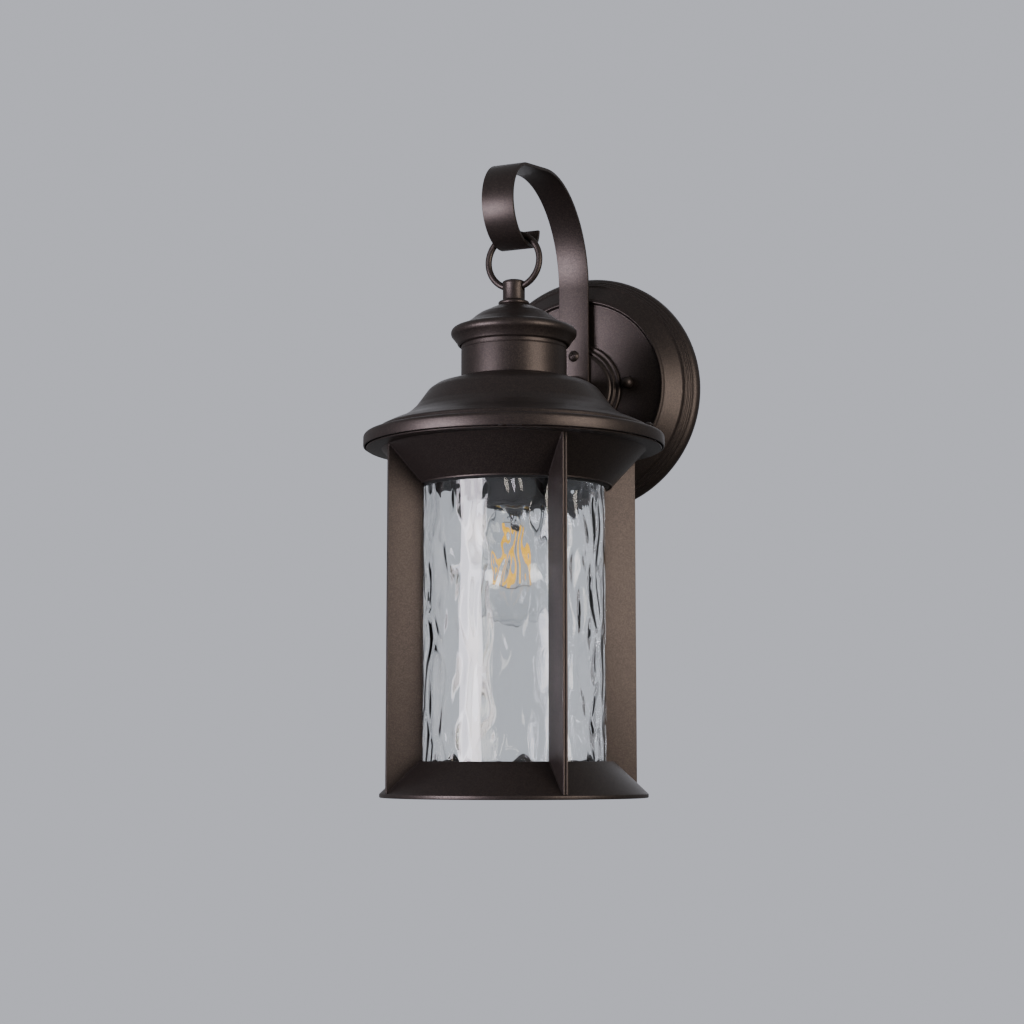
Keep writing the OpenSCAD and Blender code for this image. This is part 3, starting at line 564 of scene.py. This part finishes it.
def make_glass():
    outer, foot, top = radius("glass"), low("glass"), high("glass")
    inner = outer - 3
    rows = 150
    line = [(outer, foot + (top - foot) * k / 30) for k in range(31)]
    line += [(outer - 1, top)]
    line += [(inner, top - (top - foot) * k / rows) for k in range(rows + 1)]
    line += [(inner + 1.5, foot)]
    shape = bmesh.new()
    spin_line(shape, line, 360)
    for vert in shape.verts:
        out = Vector((vert.co.x, vert.co.y, 0))
        away = out.length / MM
        height = vert.co.z / MM
        ends = min(1.0, (height - foot) / 4, (top - height) / 6)
        if away < inner + 0.5:
            vert.co -= out.normalized() * drops(vert.co) * max(0.0, ends) * DROP_DEEP_MM * MM
        elif away > outer - 0.5:
            dip = 0.5 + 0.5 * noise.noise(Vector((out.x, out.y, vert.co.z / 3)) / (14 * MM))
            vert.co -= out.normalized() * dip * max(0.0, ends) * DRAWN_MM * MM
    fitted(piece("water_glass_cylinder", shape, LANTERN_AXIS), water_glass,
           "water_glass", "glass")


def make_gaskets():
    glass = radius("glass")
    foot, top = low("top_gasket"), high("top_gasket")
    out = radius("top_gasket")
    glass_top = high("glass")
    line = rounded([(glass, foot), (glass + 0.9, foot, 0.3), (out, foot + 1.6, 0.3),
                    (out, top, 0.4), (glass - 3, top, 0.3), (glass - 3, glass_top),
                    (glass, glass_top)])
    fitted(spun("top_gasket_moulded", line), silicone, "silicone", "top_gasket")
    foot, top = low("bottom_gasket"), high("bottom_gasket")
    out = radius("bottom_gasket")
    glass_foot = low("glass")
    line = rounded([(glass - 3, foot), (out, foot, 0.4), (out, top, 0.4), (glass, top),
                    (glass, glass_foot), (glass - 3, glass_foot)])
    fitted(spun("bottom_gasket_moulded", line), silicone, "silicone", "bottom_gasket")
    out = radius("wall_gasket")
    deep = -low("wall_gasket", "y")
    line = rounded([(out - 4, 0), (out, 0), (out, deep, 0.5), (out - 2, deep - 0.3, 1),
                    (out - 4, deep, 0.5), (out - 4, 0.1)])
    fitted(spun("wall_gasket_foam", line, OUT_OF_WALL), foam, "foam_rubber", "wall_gasket")


# ---------- socket ----------

def make_socket():
    r, foot, top = radius("socket_body"), low("socket_body"), high("socket_body")
    shell = radius("socket_shell")
    ceiling = high("socket_contact")
    bore = 4.9
    line = rounded([
        (bore, ceiling), (shell, ceiling, 1), (shell, foot, 0.4), (r - 0.6, foot, 0.5),
        (r, foot + 0.8, 0.5), (r, foot + 2.4, 0.3), (r - 0.5, foot + 2.9, 0.3),
        (r - 0.5, top - 7, 0.6), (r - 2, top - 5, 1), (12, top, 1), (bore, top)])
    fitted(spun("socket_moulded", line, steps=96), phenolic, "phenolic", "socket_body")


def threaded(name, crest, foot, top, wall):
    """A rolled screw shell: one turn of the wave, spun upwards as a helix."""
    shape = bmesh.new()
    turns = math.ceil((top - foot) / THREAD_PITCH_MM) + 2
    wave = 8
    verts = []
    for k in range(wave + 1):
        swing = 0.5 + 0.5 * math.cos(math.tau * k / wave)
        along = foot - THREAD_PITCH_MM * (1 - k / wave) - THREAD_PITCH_MM
        verts.append(shape.verts.new(((crest - THREAD_DEPTH_MM * swing) * MM, 0, along * MM)))
    edges = [shape.edges.new(pair) for pair in zip(verts, verts[1:])]
    steps = 48
    bmesh.ops.spin(shape, geom=verts + edges, cent=(0, 0, 0), axis=(0, 0, 1),
                   dvec=(0, 0, THREAD_PITCH_MM * MM / steps), angle=math.tau * turns,
                   steps=steps * turns)
    bmesh.ops.remove_doubles(shape, verts=shape.verts, dist=1e-5)
    for height, up in ((foot, -1), (top, 1)):
        bmesh.ops.bisect_plane(shape, geom=shape.verts[:] + shape.edges[:] + shape.faces[:],
                               plane_co=(0, 0, height * MM), plane_no=(0, 0, up),
                               clear_outer=True)
    bmesh.ops.recalc_face_normals(shape, faces=shape.faces)
    bmesh.ops.solidify(shape, geom=shape.faces[:], thickness=wall * MM)
    bmesh.ops.recalc_face_normals(shape, faces=shape.faces)
    return piece(name, shape, LANTERN_AXIS)


# ---------- lamp ----------

def bulb_line():
    """Outer face of the bulb from its foot up to its neck: (radius, height)."""
    r, foot = radius("bulb_envelope"), low("bulb_envelope")
    cap_foot = low("bulb_base")
    neck = radius("bulb_base") - 0.6
    belly = foot + r * 1.06
    line = [(r * math.sin(a), belly - r * 1.06 * math.cos(a))
            for a in (math.radians(3 * k) for k in range(31))]
    for k in range(1, 25):
        t = k / 24
        swell = (1 + math.cos(math.pi * t)) / 2
        line.append((neck + (r - neck) * swell, belly + (cap_foot - 1 - belly) * t))
    return line + [(neck, cap_foot + 6), (neck, high("bulb_envelope"))]


def make_lamp():
    outer = bulb_line()
    inner = [(0, outer[0][1] + 0.8)] + [(p[0] - 0.75, p[1] + 0.2) for p in outer[3:-1]]
    inner += [(outer[-1][0] - 0.8, outer[-1][1])]
    envelope = spun("bulb_blown", outer + inner[::-1], steps=96, closed=False)
    fitted(envelope, bulb_glass, "lamp_glass", "bulb_envelope", body="lamp")

    top, foot = high("bulb_stem"), low("bulb_stem")
    wide = radius("bulb_stem")
    line = rounded([(0, foot), (2, foot + 0.2, 0.8), (3, foot + 1.5, 2), (3.6, foot + 8, 3),
                    (6, top - 5, 4), (wide, top - 1, 1), (wide, top, 0.4), (0, top)], 6)
    fitted(spun("bulb_stem_pressed", line, steps=64, closed=False), bulb_glass,
           "lamp_glass", "bulb_stem", body="lamp")

    cap = threaded("lamp_screw_cap", radius("bulb_base"), low("bulb_base"),
                   high("bulb_base"), 0.35)
    fitted(cap, lamp_cap, "lamp_cap_metal", "bulb_base", body="lamp")


# ---------- everything ----------

make_backplate()
make_boss()
make_strap()
make_ring()
make_finial()
make_cap()
make_neck()
make_roof()
make_hopper()
make_bottom_ring()
make_glass_seat()
for fin, turn in (("fin_front_left", -135), ("fin_front_right", -45),
                  ("fin_back_left", 135), ("fin_back_right", 45)):
    make_fin(fin, turn)
make_glass()
make_gaskets()
make_socket()
shell = threaded("socket_screw_shell", radius("socket_shell"), low("socket_shell"),
                 high("socket_shell"), 0.4)
fitted(shell, rolled_brass, "brass_shell", "socket_shell")
make_lamp()

hardware = {
    "box_bar": (zinc, "zinc_steel", 0.2), "stud_bar": (zinc, "zinc_steel", 0.2),
    "mounting_studs": (zinc, "zinc_steel", 0.2), "stud_nuts": (zinc, "zinc_steel", 0.2),
    "stiffener": (zinc, "zinc_steel", 0.2), "arm_nuts": (zinc, "zinc_steel", 0.3),
    "centre_pipe": (zinc, "zinc_steel", 0.2), "clamp_bar": (zinc, "zinc_steel", 0.3),
    "pipe_nuts": (zinc, "zinc_steel", 0.3), "ground_screw": (ground_green, "green_screw", 0.2),
    "ball_nuts": (bronze, "bronze", 0.2), "strap_screws": (bronze, "bronze", 0.12),
    "roof_screws": (bronze, "bronze", 0.12), "arm_tube": (bronze, "bronze", 0.3),
    "arm_saddles": (bronze, "bronze", 0.3),
    "socket_contact": (rolled_brass, "brass_shell", 0.2),
    "lead_hot": (black_wire, "lead_black", 0), "lead_neutral": (white_wire, "lead_white", 0),
    "ground_lead": (green_wire, "lead_green", 0),
    "wire_connectors": (connector, "connector_plastic", 0.4)}
for part, (finish, slot_name, edge_mm) in hardware.items():
    fitted(refined(part, edge_mm), finish, slot_name, part)
lamp_parts = {
    "bulb_insulator": (vitrite, "black_glass", 0.2), "bulb_contact": (solder, "solder", 0.2),
    "bulb_filaments": (phosphor, "filament_phosphor", 0.2),
    "bulb_wires": (nickel_wire, "lamp_wire", 0)}
for part, (finish, slot_name, edge_mm) in lamp_parts.items():
    fitted(refined(part, edge_mm), finish, slot_name, part, body="lamp")


# ---------- camera, floor and light ----------

FLOOR_Z = -2.2
FLOOR_R, SWEEP_R, WALL_Z = 2.2, 1.2, 8.0


def make_floor():
    """A pale floor that sweeps up into a plain backdrop all round."""
    line = [(0, FLOOR_Z / MM)]
    line += arc(FLOOR_R / MM, (FLOOR_Z + SWEEP_R) / MM, SWEEP_R / MM, -90, 0, 16)
    line += [((FLOOR_R + SWEEP_R) / MM, WALL_Z / MM)]
    shape = bmesh.new()
    spin_line(shape, line, 96, closed=False)
    bmesh.ops.reverse_faces(shape, faces=shape.faces)
    floor = piece("studio_floor", shape)
    material, tree = blank("pale_studio_paper")
    shader = add(tree, "ShaderNodeBsdfPrincipled", {"Base Color": linear("#3c3d40"),
                 "Roughness": 0.9, "Emission Color": linear("#c2c4cd"),
                 "Emission Strength": 0.97})
    add(tree, "ShaderNodeOutputMaterial", {"Surface": shader.outputs["BSDF"]})
    floor.data.materials.append(material)
    # the paper is only seen: the sky and the softboxes light the lantern
    floor.visible_diffuse = False
    floor.visible_glossy = False
    floor.visible_shadow = False


def softbox(name, place, width, height, power, colour):
    """A soft light that faces the middle of the lantern."""
    light = bpy.data.lights.new(name, "AREA")
    light.shape = "RECTANGLE"
    light.size, light.size_y = width, height
    light.energy = power
    light.color = linear(colour)[:3]
    box = bpy.data.objects.new(name, light)
    box.location = place
    middle = Vector((0, -REACH_MM * MM, -0.08))
    box.rotation_euler = (Vector(place) - middle).to_track_quat("Z", "Y").to_euler()
    bpy.context.scene.collection.objects.link(box)
    return box


def make_sky():
    """A dim room round the studio, darker below than above."""
    world = bpy.data.worlds.new("studio_room")
    world.use_nodes = True
    tree = world.node_tree
    tree.nodes.clear()
    way = add(tree, "ShaderNodeTexCoord", {}).outputs["Generated"]
    part = add(tree, "ShaderNodeSeparateXYZ", {"Vector": way})
    glow = add(tree, "ShaderNodeMapRange", {"Value": part.outputs["Z"],
               "From Min": -0.6, "From Max": 0.6, "To Min": 0.12, "To Max": 0.42})
    sky = add(tree, "ShaderNodeBackground", {"Color": linear("#e8e9ee"),
              "Strength": glow.outputs["Result"]})
    add(tree, "ShaderNodeOutputWorld", {"Surface": sky.outputs["Background"]})
    bpy.context.scene.world = world


def make_camera():
    lens = bpy.data.cameras.new("camera")
    lens.lens = 72.93
    lens.sensor_width = 36
    camera = bpy.data.objects.new("camera", lens)
    camera.location = (0.5231, -1.3221, -0.2488)
    camera.rotation_euler = (math.radians(96.736), 0, math.radians(23.748))
    bpy.context.scene.collection.objects.link(camera)
    bpy.context.scene.camera = camera


make_camera()
make_floor()
make_sky()
softbox("left_softbox", (-0.74, -1.4, -0.24), 0.85, 0.8, 38, "#fbf3ff")
softbox("right_softbox", (1.5, -0.58, 0.05), 0.9, 1.0, 22, "#fff3e6")
fill = softbox("back_fill", (-0.6, 1.8, 0.7), 1.6, 1.6, 5, "#f4f5ff")
fill.visible_transmission = False        # not to be seen through the glass
